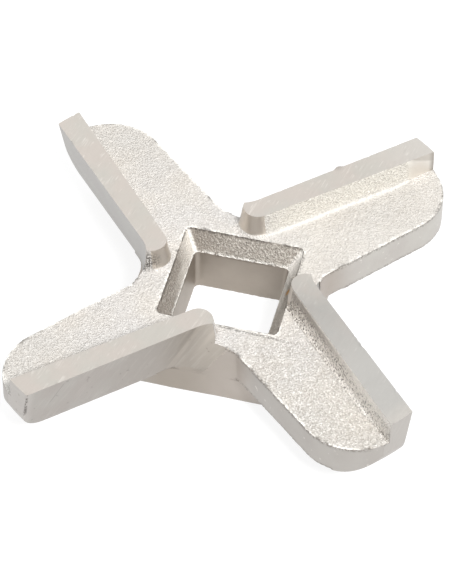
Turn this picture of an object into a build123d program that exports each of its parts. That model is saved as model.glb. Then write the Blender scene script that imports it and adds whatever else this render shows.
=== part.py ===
from build123d import *
import math
import os

# Four-armed meat grinder knife, one casting finished by grinding.
#
# The origin is the centre of the hub's bottom face. +Z runs along the drive
# axis from the hub to the cutting edges, and the sides of the square bore lie
# along X and Y. The four arms stand between those axes.
#
# Each arm is a cast web with a rib on its leading half. The rib's top is ground
# flat to run on the hole plate, and the leading side is ground back under it,
# which leaves the cutting edge at the rib's leading top corner. That grinding
# dies out into the hub wall with the round of the wheel.
#
# A piece of the first arm is drawn with the arm along +X and its leading side
# towards +Y, and is then turned to each arm's angle.

# whole knife
knife_diameter = 77.0
arm_count = 4
arm_angle = 43.0  # of the first arm, from +X
rib_height = 3.8  # the rib tops stand this far above the webs
arm_thickness = 5.2
hub_drop = 5.0  # the hub hangs this far below the arms

# hub
hub_side = 28.2
hub_draft = 5.0
hub_corner_radius = 2.5
hub_edge_radius = 0.5
hub_blend_radius = 1.0  # under the arms

# square bore and the cast funnel above it
bore_side = 13.6
bore_corner_radius = 0.8
ledge_length = 14.5  # bore along X at the foot of the funnel
funnel_length = 18.2  # mouth of the funnel along X
funnel_width = 17.8  # and along Y
funnel_depth = 2.8
funnel_shift = 0.4  # the core sat off centre along X

# cast web of an arm
grinding_allowance = 1.0
trailing_inset = 6.6  # the trailing side starts this far inside the hub's side
trailing_taper = 6.3
tip_corner_radius = 8.5
crotch_share = 0.76  # radius beside the hub, of the hub wall between two arms

# cast rib
rib_width_tip = 3.9
rib_width_root = 3.3
rib_inner_end = 7.1
rib_end_radius = 2.1
rib_draft = 9.0
rib_foot_radius = 1.0

# grinding of the leading side
edge_inset = 5.1  # the cutting edge lies this far inside the hub's side
rake_angle = 11.0
runout_distance = 10.1  # where the grinding path turns away, along the arm
runout_radius = 5.8
runout_turn = 65.0
runout_lean = 26.0

# turning of the tips
tip_lower_radius = 3.5

# worked out from the above
tip_radius = knife_diameter / 2
web_bottom = hub_drop
web_top = web_bottom + arm_thickness
rib_top = web_top + rib_height
arm_depth = rib_top - web_bottom
bore_ledge = web_top - funnel_depth
edge_offset = hub_side / 2 - edge_inset
trailing_offset = hub_side / 2 - trailing_inset
cast_side = edge_offset + grinding_allowance
grinding_depth = arm_depth + hub_blend_radius
hub_reach = hub_side / math.sqrt(2)  # to its corners
reach = knife_diameter  # safely beyond any tip


def square_hub():
    """Drafted square hub, from its bottom face up to the top of the webs."""
    outline = RectangleRounded(hub_side, hub_side, hub_corner_radius)
    block = extrude(outline, web_top, taper=hub_draft)
    bottom_edges = block.edges().group_by(Axis.Z)[0]
    return fillet(bottom_edges, hub_edge_radius)


def trailing_line(along):
    """Distance from the arm's centre line to its trailing side."""
    return trailing_offset - along * math.tan(math.radians(trailing_taper))


def arm_outline():
    """Upright outline of the first arm, from the underside to the rib's top."""
    sides = Polyline(
        (0, cast_side),
        (reach, cast_side),
        (reach, -trailing_line(reach)),
        (0, -trailing_line(0)),
        close=True,
    )
    outline = make_face(sides) & Circle(tip_radius)
    trailing_tip = outline.vertices().sort_by(Axis.Y)[:2].sort_by(Axis.X)[-1]
    outline = fillet(trailing_tip, tip_corner_radius)
    return extrude(Pos(0, 0, web_bottom) * outline, arm_depth)


def cast_rib():
    """Rib of the first arm, drafted to widen downwards, on a slab of web."""
    outline = Polyline(
        (rib_inner_end, cast_side),
        (reach, cast_side),
        (reach, edge_offset - rib_width_tip),
        (tip_radius, edge_offset - rib_width_tip),
        (rib_inner_end, edge_offset - rib_width_root),
        close=True,
    )
    flat = make_face(outline)
    rounded = fillet(flat.vertices().sort_by(Axis.X)[:2], rib_end_radius)
    rib = extrude(Pos(0, 0, rib_top) * rounded, -rib_height, taper=-rib_draft)
    slab_length = 3 * reach
    slab = extrude(Pos(0, 0, web_bottom) * Rectangle(slab_length, reach), arm_thickness)
    whole = slab + rib
    web_edges = whole.edges().filter_by_position(Axis.Z, web_top, web_top)
    foot = web_edges.filter_by(lambda edge: abs(edge.center().Y) < cast_side + rib_height)
    foot = foot.filter_by(lambda edge: abs(edge.center().X) < reach + rib_height)
    return fillet(foot, rib_foot_radius)


def front_grinding():
    """What the grinding wheel took off the first arm's leading side.

    The path runs along the edge and turns away at the hub. The wheel is tipped,
    so the path moves back under the edge and outwards along the arm.
    """
    along = Line((reach, edge_offset), (runout_distance, edge_offset))
    away = JernArc(along @ 1, (-1, 0), runout_radius, -runout_turn)
    beyond = (reach, (away @ 1).Y)
    path = make_face([along, away, Polyline(away @ 1, beyond, along @ 0)])
    lean = Vector(
        math.tan(math.radians(runout_lean)),
        -math.tan(math.radians(rake_angle)),
        -1,
    )
    return extrude(Pos(0, 0, rib_top) * path, grinding_depth * lean.length, dir=lean)


def tip_turning():
    """The round that the tips are turned to, soft at its lower edge."""
    disc = extrude(Pos(0, 0, web_bottom) * Circle(tip_radius), arm_depth)
    lower_edge = disc.edges().filter_by(GeomType.CIRCLE).sort_by(Axis.Z)[0]
    return fillet(lower_edge, tip_lower_radius)


def drive_bore():
    """Square bore through the hub, with its cast funnel above.

    The funnel's mouth goes on upwards through the rib feet that reach over it.
    """
    foot = RectangleRounded(bore_side, bore_side, bore_corner_radius)
    ledge = RectangleRounded(ledge_length, bore_side, bore_corner_radius)
    lip = RectangleRounded(funnel_length, funnel_width, bore_corner_radius)
    raised_ledge = Pos(funnel_shift, 0, bore_ledge) * ledge
    raised_lip = Pos(funnel_shift, 0, web_top) * lip
    bore = loft([foot, raised_ledge])
    funnel = loft([raised_ledge, raised_lip])
    return bore + funnel + extrude(raised_lip, rib_foot_radius)


def at_each_arm(piece):
    """The first arm's piece, repeated round the drive axis."""
    return PolarLocations(0, arm_count, start_angle=arm_angle) * piece


def from_axis(edge):
    """Distance of an edge's middle from the drive axis."""
    return math.hypot(edge.center().X, edge.center().Y)


def hub_wall_between_arms():
    """Length of hub wall from one arm to the next, halfway up the webs."""
    height = (web_bottom + web_top) / 2
    wall = hub_side / 2 - height * math.tan(math.radians(hub_draft))
    leading = math.radians(arm_angle)
    trailing = math.radians(arm_angle + trailing_taper)
    trailing_distance = trailing_offset * math.cos(trailing - leading)
    after = (wall * math.sin(trailing) - trailing_distance) / math.cos(trailing)
    before = (cast_side - wall * math.cos(leading)) / math.sin(leading)
    return after - before


def casting():
    """The whole casting with its tips turned, before grinding."""
    arm = cast_rib() & arm_outline()
    arms = Part() + at_each_arm(arm)
    body = square_hub() + (tip_turning() & arms)
    underneath = body.edges().filter_by_position(Axis.Z, web_bottom, web_bottom)
    hub_foot = underneath.filter_by(lambda edge: from_axis(edge) < hub_reach)
    body = fillet(hub_foot, hub_blend_radius)
    beside_hub = body.edges().filter_by(lambda edge: from_axis(edge) < hub_reach)
    low, high = web_bottom + hub_blend_radius, web_top - hub_blend_radius
    crotches = beside_hub.filter_by(lambda edge: low < edge.center().Z < high)
    return fillet(crotches, crotch_share * hub_wall_between_arms())


def knife():
    """The casting with its leading sides ground and its bore opened."""
    return casting() - at_each_arm(front_grinding()) - drive_bore()


os.makedirs("parts", exist_ok=True)
export_step(knife(), "parts/knife.step")
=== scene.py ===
# %% [markdown]
# # The look of a meat grinder knife
#
# The packed part is one cast knife with four arms. Its shape is right as it
# stands, so the lesson is about its skin: a sandy casting that was blasted
# clean, with the cutting faces, leading sides and tips ground bright.
#
# The steps are to load the part, to make a fine skin over the same shape, to
# say which of its faces are cast and which are ground, to roughen the cast
# ones, and then to give each finish its own material.

import math

import bmesh
import bpy
import numpy as np
from mathutils import Matrix, Vector
from mathutils.geometry import delaunay_2d_cdt
from mathutils.kdtree import KDTree
from mathutils.noise import fractal, noise


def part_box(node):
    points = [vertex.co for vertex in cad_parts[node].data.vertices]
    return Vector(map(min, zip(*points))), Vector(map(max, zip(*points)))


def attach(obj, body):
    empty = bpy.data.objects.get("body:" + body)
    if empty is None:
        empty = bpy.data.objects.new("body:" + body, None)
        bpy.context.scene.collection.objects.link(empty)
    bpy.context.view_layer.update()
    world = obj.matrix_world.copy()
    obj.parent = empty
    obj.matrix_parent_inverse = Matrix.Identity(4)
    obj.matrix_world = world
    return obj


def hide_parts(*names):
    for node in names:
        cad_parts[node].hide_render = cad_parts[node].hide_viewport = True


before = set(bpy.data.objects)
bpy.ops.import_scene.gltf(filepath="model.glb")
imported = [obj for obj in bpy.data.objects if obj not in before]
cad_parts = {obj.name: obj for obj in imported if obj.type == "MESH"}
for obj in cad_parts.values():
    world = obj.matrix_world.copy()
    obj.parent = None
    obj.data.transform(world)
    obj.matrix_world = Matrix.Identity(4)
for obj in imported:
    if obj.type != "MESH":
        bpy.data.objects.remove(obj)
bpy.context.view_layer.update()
MM = 0.001

# %% [markdown]
# ## Heights, reach and arms
#
# On the real knife every arm is a flat web with a rib along its leading half,
# and the tops of the ribs are the faces that run on the hole plate. The
# heights of rib and web, the turning circle of the tips and the angles of the
# arms say where any spot lies, so all the later steps are written with them.
# Only the full height can be read off the part's box. The others repeat the
# solid's own sizes. Lengths are in millimetres, and the front is towards -Y.

# %% Main sizes
RIB_TOP = round(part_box("knife")[1][2] / MM, 3)
WEB_TOP = 10.2
WEB_BOTTOM = 5.0
TIP_RADIUS = 38.5
ARM_ANGLES = [math.radians(43 + 90 * k) for k in range(4)]
BACK_RIGHT, BACK_LEFT, FRONT_LEFT, FRONT_RIGHT = range(4)
TOUCHING = 0.02  # a place that is this near to a level lies on it
CLOSE = 0.1
print("rib above web, mm:", round(RIB_TOP - WEB_TOP, 2), " across the tips, mm:", 2 * TIP_RADIUS)


# %% [markdown]
# ## A fine skin over the same solid
#
# The solid's own mesh has few, long triangles, which can't carry the grain of
# a casting. A Remesh or Subdivision modifier would round the ground edges, so
# each flat facet is instead cut into small, even triangles where it lies. The
# shape doesn't change, and the ground edges stay as crisp as the solid's.
#
# First the solid's triangles that share one plane are merged into facets.

# %% Facets of the solid
SAME_POINT = 0.0005
SAME_PLANE = math.radians(0.4)


def merged_facets(source):
    """The node's mesh in mm, with triangles of one plane merged into one facet."""
    shape = bmesh.new()
    shape.from_mesh(source.data)
    shape.transform(Matrix.Scale(1 / MM, 4))
    bmesh.ops.remove_doubles(shape, verts=shape.verts, dist=SAME_POINT)
    bmesh.ops.dissolve_limit(
        shape, angle_limit=SAME_PLANE, verts=shape.verts, edges=shape.edges, delimit=set()
    )
    shape.verts.index_update()
    return shape


facets = merged_facets(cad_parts["knife"])
print("facets:", len(facets.faces), " edges:", len(facets.edges))


# %% [markdown]
# ## Dividing the edges
#
# Two facets that share an edge have to meet at the same points, or the skin
# would gape there. So an edge is divided once, the first time that a facet
# asks for it, and its neighbour gets the same points in the other order.

# %% Points along the edges
STEP = 0.34


class DividedEdges:
    """Cuts each edge into equal lengths, the same for both its neighbours."""

    def __init__(self, shape, step):
        self.points = [vertex.co.copy() for vertex in shape.verts]
        self.cuts = {}
        self.step = step

    def between(self, first, last):
        """Numbers of the points from the vertex first up to, not with, last."""
        key = (min(first, last), max(first, last))
        if key not in self.cuts:
            start, end = self.points[key[0]], self.points[key[1]]
            parts = int((end - start).length / self.step) + 1
            inner = [start.lerp(end, k / parts) for k in range(1, parts)]
            number = len(self.points)
            self.points.extend(inner)
            self.cuts[key] = list(range(number, number + len(inner)))
        middle = self.cuts[key]
        return [first] + (middle if first < last else middle[::-1])

    def around(self, face):
        """Numbers of all the points round a facet."""
        ring = [vertex.index for vertex in face.verts]
        rim = []
        for first, last in zip(ring, ring[1:] + ring[:1]):
            rim.extend(self.between(first, last))
        return rim


divided = DividedEdges(facets, STEP)
print("corners of the facets:", len(divided.points))


# %% [markdown]
# ## Points inside a facet
#
# Inside its rim a facet gets points on a triangular grid, which makes the most
# even triangles. A point is inside when a line from it to the right crosses
# the rim an odd number of times. Points too near the rim are left out, since
# they would make slivers.

# %% A grid within an outline
CLEAR_OF_RIM = 0.7  # of a step


def grid_within(corners, step):
    """Points of a triangular grid that lie inside an outline."""
    low, high = corners.min(0), corners.max(0)
    starts, ends = corners, np.roll(corners, -1, axis=0)
    row_height = step * math.sqrt(3) / 2
    points = []
    for number, y in enumerate(np.arange(low[1] + row_height / 2, high[1], row_height)):
        xs = np.arange(low[0] + (number % 2) * step / 2, high[0], step)
        crossing = (starts[:, 1] > y) != (ends[:, 1] > y)
        a, b = starts[crossing], ends[crossing]
        where = a[:, 0] + (y - a[:, 1]) / (b[:, 1] - a[:, 1]) * (b[:, 0] - a[:, 0])
        inside = (xs[:, None] < where[None, :]).sum(1) % 2 == 1
        points.extend((x, y) for x in xs[inside])
    return np.array(points).reshape(-1, 2)


def inside_points(corners, step):
    """The grid's points that also keep clear of the outline's own points."""
    points = grid_within(corners, step)
    rim = KDTree(len(corners))
    for number, corner in enumerate(corners):
        rim.insert((corner[0], corner[1], 0), number)
    rim.balance()
    clear = [rim.find((x, y, 0))[2] > CLEAR_OF_RIM * step for x, y in points]
    return points[np.array(clear, bool)]


sample_square = np.array([(0, 0), (5, 0), (5, 5), (0, 5)], float)
print("grid points in a 5 mm square:", len(inside_points(sample_square, STEP)))


# %% [markdown]
# ## Joining the points
#
# A Delaunay triangulation joins the rim and the grid into triangles that are
# as near to even as they can be, and it can be told to keep the rim's edges.
# It works on a plane, so each facet is laid flat first and its points are
# put back in space by number.

# %% The fine skin
CDT_INSIDE = 1  # keep only the triangles within the rim
CDT_SAME_POINT = 1e-6


def laid_flat(face, rim_places):
    """A facet's rim as flat points, and how to put a flat point back."""
    side = face.normal.orthogonal().normalized()
    up = face.normal.cross(side)
    middle = face.calc_center_median()
    offsets = [place - middle for place in rim_places]
    flat = np.array([(offset.dot(side), offset.dot(up)) for offset in offsets])
    return flat, lambda x, y: middle + side * x + up * y


def fine_skin(shape, divided):
    """Points and triangles of the fine skin, in mm."""
    triangles = []
    for face in shape.faces:
        rim = divided.around(face)
        flat, lifted = laid_flat(face, [divided.points[i] for i in rim])
        grid = inside_points(flat, divided.step)
        first_new = len(divided.points)
        divided.points.extend(lifted(x, y) for x, y in grid)
        numbers = rim + list(range(first_new, first_new + len(grid)))
        loose = [Vector(point) for point in np.vstack([flat, grid])]
        edges = [(i, (i + 1) % len(rim)) for i in range(len(rim))]
        made = delaunay_2d_cdt(loose, edges, [], CDT_INSIDE, CDT_SAME_POINT)
        joined, came_from = made[2], made[3]
        for corners in joined:
            triangles.append([numbers[came_from[i][0]] for i in corners])
    return np.array(divided.points), np.array(triangles)


points, triangles = fine_skin(facets, divided)
facets.free()
print("points:", len(points), " small triangles:", len(triangles))


# %% [markdown]
# ## Seen along an arm
#
# The four arms are one arm turned by a quarter each time. So a test is written
# once, for an arm that lies along +X, and the places are turned under it. Its
# three numbers are then how far along the arm a place is, how far towards the
# leading side, and how high.

# %% Turning places
def seen_from_arm(places, angle):
    """The places turned about Z so that an arm at this angle lies along +X."""
    c, s = math.cos(angle), math.sin(angle)
    x, y, z = places.T
    return np.column_stack([x * c + y * s, y * c - x * s, z])


for name, angle in zip(("back right", "back left", "front left", "front right"), ARM_ANGLES):
    reach = seen_from_arm(points, angle)[:, 0].max()
    print(name, "arm reaches, mm:", round(float(reach), 2))


# %% [markdown]
# ## The ground leading sides
#
# A wheel ground the leading side of each arm in one pass. That left a plane
# which leans back under the cutting edge by the rake, and at the hub the round
# of the wheel, which leans outwards as it goes down. A place belongs to the
# ground side when it lies on that plane or on that round.

# %% Finding the ground sides
EDGE_OFFSET = 9.0
RAKE = math.radians(11.0)
RUNOUT_DISTANCE = 10.1
RUNOUT_RADIUS = 5.8
RUNOUT_LEAN = math.radians(26.0)
PLANE_SLACK = 0.04
ROUND_SLACK = 0.05
ARM_STARTS, ARM_LEADS = 3, 4  # less than these belongs to other arms


def front_ground(places):
    """Whether each place lies on the plane or the run-out that was ground."""
    found = np.zeros(len(places), bool)
    for angle in ARM_ANGLES:
        along, leading, height = seen_from_arm(places, angle).T
        drop = RIB_TOP - height
        plane = EDGE_OFFSET - drop * math.tan(RAKE)
        centre_along = RUNOUT_DISTANCE + drop * math.tan(RUNOUT_LEAN)
        centre_leading = plane + RUNOUT_RADIUS
        from_centre = np.hypot(along - centre_along, leading - centre_leading)
        on_plane = (along > centre_along - CLOSE) & (abs(leading - plane) < PLANE_SLACK)
        on_round = (along <= centre_along) & (abs(from_centre - RUNOUT_RADIUS) < ROUND_SLACK)
        this_arm = (leading > ARM_LEADS) & (along > ARM_STARTS)
        found |= this_arm & (on_plane | on_round)
    return found & (places[:, 2] > WEB_BOTTOM + TOUCHING)


middles = points[triangles].mean(1)
print("triangles of the ground sides:", int(front_ground(middles).sum()))


# %% [markdown]
# ## The ribs
#
# The inner end of a rib is a smooth upright round. Its back is drafted, so
# that the pattern could be drawn out of the sand. It is as sandy as the web on
# all arms but the front right one, whose back came out coarser.

# %% Finding the ribs' ends and backs
RIB_WIDTH = 5.4
RIB_INNER_END = 7.1
RIB_END_RADIUS = 2.1
RIBS_FROM = 4


def rib_parts(places):
    """Which places are round the ribs' inner ends, and on the back of each rib."""
    above_web = (places[:, 2] > WEB_TOP + CLOSE) & (places[:, 2] < RIB_TOP - TOUCHING)
    ends = np.zeros(len(places), bool)
    backs = []
    for angle in ARM_ANGLES:
        along, leading, _ = seen_from_arm(places, angle).T
        beside = above_web & (abs(leading - EDGE_OFFSET + RIB_WIDTH / 2) < RIB_WIDTH / 2)
        ends |= beside & (along > RIBS_FROM) & (along < RIB_INNER_END + RIB_END_RADIUS)
        backs.append(beside & (along > RIB_INNER_END))
    return ends, backs


print("triangles on rib backs:", [int(back.sum()) for back in rib_parts(middles)[1]])


# %% [markdown]
# ## The tips
#
# All four tips were turned to one circle, with a round at their lower edge.
# One rib's back, on the back right arm, was dressed bright beside its tip.
# Both are told by their distance from the knife's axis.

# %% Finding the tips
TIP_ROUND = 3.5
TIP_SLACK = 0.06
DRESSED_FROM = 33.6
DRESSED_ABOVE = WEB_TOP + 0.25


def on_turned_tip(places):
    """Whether each place lies on the turned tips or the round under them."""
    radius, z = np.hypot(places[:, 0], places[:, 1]), places[:, 2]
    from_ring = np.hypot(radius - (TIP_RADIUS - TIP_ROUND), z - WEB_BOTTOM - TIP_ROUND)
    low = (radius > TIP_RADIUS - TIP_ROUND) & (z < WEB_BOTTOM + TIP_ROUND)
    return (radius > TIP_RADIUS - CLOSE) | (low & (abs(from_ring - TIP_ROUND) < TIP_SLACK))


def on_dressed_back(places):
    """Whether each place lies on the dressed end of the back right rib's back."""
    along, _, height = seen_from_arm(places, ARM_ANGLES[BACK_RIGHT]).T
    radius = np.hypot(places[:, 0], places[:, 1])
    return (along > DRESSED_FROM) & (height > DRESSED_ABOVE) & (radius < TIP_RADIUS - CLOSE)


print("triangles on turned tips:", int(on_turned_tip(middles).sum()))


# %% [markdown]
# ## Cast faces and ground faces
#
# The top of each rib, the leading side of each arm with its run-out, and the
# turned tips are bare ground steel. The bore, the hub's sides and the arms'
# sides are cast but smooth, and so is the dressed end of a rib's back. The
# funnel round the bore is coarse. All other faces keep the sandy skin of the
# mould. Later lines win over earlier ones, as paint does, which keeps each
# test short.

# %% Sorting the triangles
SANDY, COARSE, SMOOTH, GROUND_TOP, GROUND_SIDE = range(5)
FINISHES = ["sandy", "coarse", "smooth", "ground top", "ground side"]
LEDGE = 7.4
FUNNEL_REACH = 9.6
BORE_REACH = 7.7
UNDER_FILLET = 0.9
LEVEL, SLOPING, STEEP, UPRIGHT = 0.9, 0.8, 0.6, 0.3  # how far a normal points up
TINY = 1e-12


def triangle_normals(points, triangles):
    """The unit normal of each triangle."""
    a, b, c = (points[triangles[:, k]] for k in range(3))
    normals = np.cross(b - a, c - a)
    return normals / np.maximum(np.linalg.norm(normals, axis=1), TINY)[:, None]


def sort_faces(places, normals):
    """The finish of each triangle, from its middle and its normal."""
    x, y, z = places.T
    across = np.maximum(abs(x), abs(y))
    slope = normals[:, 2]
    rib_ends, rib_backs = rib_parts(places)
    finish = np.full(len(places), SANDY)
    finish[rib_backs[FRONT_RIGHT] & (slope < LEVEL)] = COARSE
    finish[rib_backs[BACK_RIGHT] & on_dressed_back(places) & (slope < LEVEL)] = SMOOTH
    finish[rib_ends & (slope < STEEP)] = SMOOTH
    finish[(across < FUNNEL_REACH) & (z < WEB_TOP - TOUCHING) & (z > LEDGE)] = COARSE
    finish[(abs(slope) < UPRIGHT) & (z < WEB_TOP) & (across > FUNNEL_REACH)] = SMOOTH
    finish[(across < BORE_REACH) & (z < LEDGE)] = SMOOTH
    finish[(z < WEB_BOTTOM + UNDER_FILLET) & (abs(slope) < SLOPING)] = SMOOTH
    finish[on_turned_tip(places)] = GROUND_SIDE
    finish[front_ground(places)] = GROUND_SIDE
    finish[(z > RIB_TOP - TOUCHING) & (slope > LEVEL)] = GROUND_TOP
    return finish


finish = sort_faces(middles, triangle_normals(points, triangles))
print({name: int((finish == k).sum()) for k, name in enumerate(FINISHES)})


# %% [markdown]
# ## Rib backs near the tips
#
# When the tips were turned, the last few millimetres of each rib's back were
# dressed upright, down to the web, so that the fillet at the foot runs out
# there. Cutting the mesh would break its even triangles, so the points of the
# back move over to the plane of that cut, a little more with each step
# towards the tip.

# %% Dressing the backs
UPRIGHT_BACK = 5.0
UPRIGHT_FROM, UPRIGHT_FULL = 31.5, 36.5
FOOT_HEIGHT = 0.9
OFF_THE_WEB = 0.05


def dressed_backs(places):
    """The places with the ribs' backs made upright towards the tips."""
    moved = places.copy()
    above = places[:, 2] > WEB_TOP + OFF_THE_WEB
    for angle in ARM_ANGLES:
        along, leading, height = seen_from_arm(places, angle).T
        near_tip = above & (along > UPRIGHT_FROM)
        on_back = near_tip & (leading > 0) & (leading < UPRIGHT_BACK)
        share = np.clip((along - UPRIGHT_FROM) / (UPRIGHT_FULL - UPRIGHT_FROM), 0, 1)
        leading = leading + share * (UPRIGHT_BACK - leading)
        along = np.minimum(along, np.sqrt(np.maximum(TIP_RADIUS**2 - leading**2, 0)))
        lift = height - WEB_TOP
        lift = lift * (1 - share * np.clip(1 - lift / FOOT_HEIGHT, 0, 1))
        turned = seen_from_arm(np.column_stack([along, leading, WEB_TOP + lift]), -angle)
        moved[on_back] = turned[on_back]
    return moved


before = points
points = dressed_backs(before)
print("points of the dressed backs:", int((points != before).any(1).sum()))


# %% [markdown]
# ## Helpers for the roughening
#
# The next steps ask which points a kind of face uses, which way its faces
# look at each point, and what the neighbours of a point are like. All three
# are sums over the triangles, which numpy can do for the whole skin at once.

# %% Points and their neighbours
def points_of(chosen, triangles, count):
    """Marks each point that a chosen triangle uses."""
    marked = np.zeros(count, bool)
    marked[triangles[chosen].ravel()] = True
    return marked


def averaged_normals(points, triangles, chosen):
    """Mean normal, at each point, of the chosen triangles."""
    total = np.zeros_like(points)
    face_normals = triangle_normals(points, triangles[chosen])
    for k in range(3):
        np.add.at(total, triangles[chosen][:, k], face_normals)
    return total / np.maximum(np.linalg.norm(total, axis=1), 1e-9)[:, None]


def neighbour_means(values, triangles):
    """Mean of what the neighbours of each point have, such as their places."""
    total = np.zeros_like(values)
    count = np.zeros(len(values))
    for k in range(3):
        for step in (1, 2):
            np.add.at(total, triangles[:, k], values[triangles[:, (k + step) % 3]])
            np.add.at(count, triangles[:, k], 1)
    return total / np.maximum(count, 1)[:, None]


gap = np.linalg.norm(neighbour_means(points, triangles) - points, axis=1)
print("greatest gap from a point to its neighbours' middle, mm:", round(float(gap.max()), 3))


# %% [markdown]
# ## Roughening the casting
#
# A sand casting is never quite flat and has no sharp edges: the grains round
# them and leave them ragged. So the points of cast faces are first drawn
# towards their neighbours, which softens edges, and are then pushed in and out
# by small noise. Points on a ground face stay in its plane, but may wander
# along it, which makes the ragged line where the two finishes meet. A Displace
# modifier can't hold the ground faces still in this way.

# %% Sand
SOFTENING = 0.5
GRAIN_SIZE = 0.5
GRAIN_HEIGHT = 0.045
SMOOTH_SHARE = 0.25
GRAIN_FALL, GRAIN_FINER, GRAIN_LAYERS = 0.6, 2.0, 3  # each layer is finer than the last
WAVE_SIZE = 7.0
WAVE_HEIGHT = 0.05


def softened(points, triangles, held):
    """The points drawn towards their neighbours, apart from those that are held."""
    drawn = points.copy()
    drawn[~held] += SOFTENING * (neighbour_means(points, triangles) - points)[~held]
    return drawn


def sand_grain(place):
    """The height of the sand's grain, about 0 on average."""
    return fractal(place / GRAIN_SIZE, GRAIN_FALL, GRAIN_FINER, GRAIN_LAYERS)


def sand_push(points, triangles, finish):
    """How far the sand pushes each point. Ground faces are not pushed in."""
    ground = finish >= GROUND_TOP
    on_ground = points_of(ground, triangles, len(points))
    on_cast = points_of(~ground, triangles, len(points))
    on_sandy = points_of(finish == SANDY, triangles, len(points))
    ground_normals = averaged_normals(points, triangles, ground)
    grain = np.array([sand_grain(p) for p in map(Vector, points)])
    waves = np.array([noise(p / WAVE_SIZE) for p in map(Vector, points)])
    height = np.where(on_sandy, GRAIN_HEIGHT, SMOOTH_SHARE * GRAIN_HEIGHT) * grain
    height += WAVE_HEIGHT * waves * ~on_ground
    push = averaged_normals(points, triangles, ~ground) * height[:, None]
    inward = (push * ground_normals).sum(1)
    push -= np.where(on_ground, inward, 0)[:, None] * ground_normals
    return push * on_cast[:, None]


ground_points = points_of(finish >= GROUND_TOP, triangles, len(points))
shaped = softened(points, triangles, ground_points) + sand_push(points, triangles, finish)
shaped[:, 2] = np.maximum(shaped[:, 2], 0)
print("largest move by sand, mm:", round(float(np.linalg.norm(shaped - points, axis=1).max()), 3))


# %% [markdown]
# ## Chips and a burr on the cutting edges
#
# Use has taken small chips out of the edges where a rib's top meets its
# leading side, and at one spot on the back right arm the wheel left a burr
# that stands up. Only the points of the edge itself move.

# %% Wear of the edges
NICK_SIZE = 0.7
NICK_RARITY = 0.25
NICK_DEPTH = 0.28
BURR = (11.04, 22.98, 14.0)
BURR_SIZE = 0.8
BURR_HEIGHT = 0.45


def edge_wear(points, triangles, finish):
    """How deep each point of a cutting edge is chipped. The burr stands out."""
    on_top = points_of(finish == GROUND_TOP, triangles, len(points))
    on_side = points_of(finish == GROUND_SIDE, triangles, len(points))
    chips = np.array([noise(p / NICK_SIZE) for p in map(Vector, points)])
    depth = np.clip(chips - NICK_RARITY, 0, 1) * NICK_DEPTH
    from_burr = np.linalg.norm(points - BURR, axis=1)
    depth -= BURR_HEIGHT * np.clip(1 - from_burr / BURR_SIZE, 0, 1)
    return depth * (on_top & on_side)


wear = edge_wear(points, triangles, finish)
ground_normals = averaged_normals(points, triangles, finish >= GROUND_TOP)
shaped = shaped - wear[:, None] * ground_normals
print("deepest chip, mm:", round(float(wear.max()), 3), " burr, mm:", round(float(-wear.min()), 3))


# %% [markdown]
# ## A shift between the mould's halves
#
# The hub below the arms was cast in the other half of the mould, which lay a
# little to one side. Its outer walls move over, and the bore, which was cut
# later, stays where it is.

# %% Shifting the hub
MOULD_SHIFT = 0.8
SHIFT_TOP, SHIFT_FULL = 5.4, 4.2
HUB_WALLS_FROM, HUB_WALLS_TO = 11, 16


def shifted_hub(places):
    """The places with the hub's outer walls moved over."""
    across = np.maximum(abs(places[:, 0]), abs(places[:, 1]))
    outside = (across > HUB_WALLS_FROM) & (across < HUB_WALLS_TO)
    share = np.clip((SHIFT_TOP - places[:, 2]) / (SHIFT_TOP - SHIFT_FULL), 0, 1)
    moved = places.copy()
    moved[:, 0] -= MOULD_SHIFT * share * outside
    return moved


unshifted = shaped
shaped = shifted_hub(unshifted)
print("points that the shift moves:", int((shaped != unshifted).any(1).sum()))


# %% [markdown]
# ## The rims
#
# Where two cast faces meet, the sand leaves a ragged rim, which the materials paint brighter or
# darker than both; on the sandy skin the bright parts are painted highlights. Each point gets a
# number that is 1 on such a rim and falls to 0 within a grain or two, and the materials read it by
# name. It is left out along the foot of a rib's back, where a fillet joins the two faces.

# %% Numbers for the rims
FOOT_MIDDLE, FOOT_HALF = 3.8, 1.6


def rim_numbers(points, triangles, finish):
    """For each point 1 on a rim between cast faces, less beside it, and 0 elsewhere."""
    kinds = [points_of(finish == kind, triangles, len(points)) for kind in (SANDY, COARSE, SMOOTH)]
    rim = (sum(kind.astype(int) for kind in kinds) > 1).astype(float)
    for angle in ARM_ANGLES:
        along, leading, height = seen_from_arm(points, angle).T
        past_end = (along > RIB_INNER_END + RIB_END_RADIUS) & (height > WEB_TOP - CLOSE)
        rim[past_end & (abs(leading - FOOT_MIDDLE) < FOOT_HALF)] = 0
    return np.maximum(rim, neighbour_means(rim[:, None], triangles)[:, 0])


rims = rim_numbers(points, triangles, finish)
print("points on a rim:", int((rims >= 1).sum()))


# %% [markdown]
# ## The skin as a piece of the scene
#
# The arrays become one Blender mesh. Each triangle's finish is its material
# slot, so the order of the materials later on is the order of the finishes.
# Shading is smooth up to an angle that the grain stays under, so that real
# edges stay sharp. The web's triangles that reach up to a dressed back are
# shaded flat, since smooth shading would roll its light up the wall.

# %% Making the piece
SHARP_ANGLE = math.radians(24)
STRIP_MIDDLE, STRIP_HALF, STRIP_TOP = 4.3, 0.9, WEB_TOP + 0.4


def beside_dressed_backs(points, triangles, finish):
    """The triangles of web that reach up to a dressed back."""
    middles = points[triangles].mean(1)
    low = (finish == SANDY) & (middles[:, 2] < STRIP_TOP)
    found = np.zeros(len(triangles), bool)
    for angle in ARM_ANGLES:
        along, leading, _ = seen_from_arm(middles, angle).T
        found |= low & (along > UPRIGHT_FROM) & (abs(leading - STRIP_MIDDLE) < STRIP_HALF)
    return found


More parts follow.
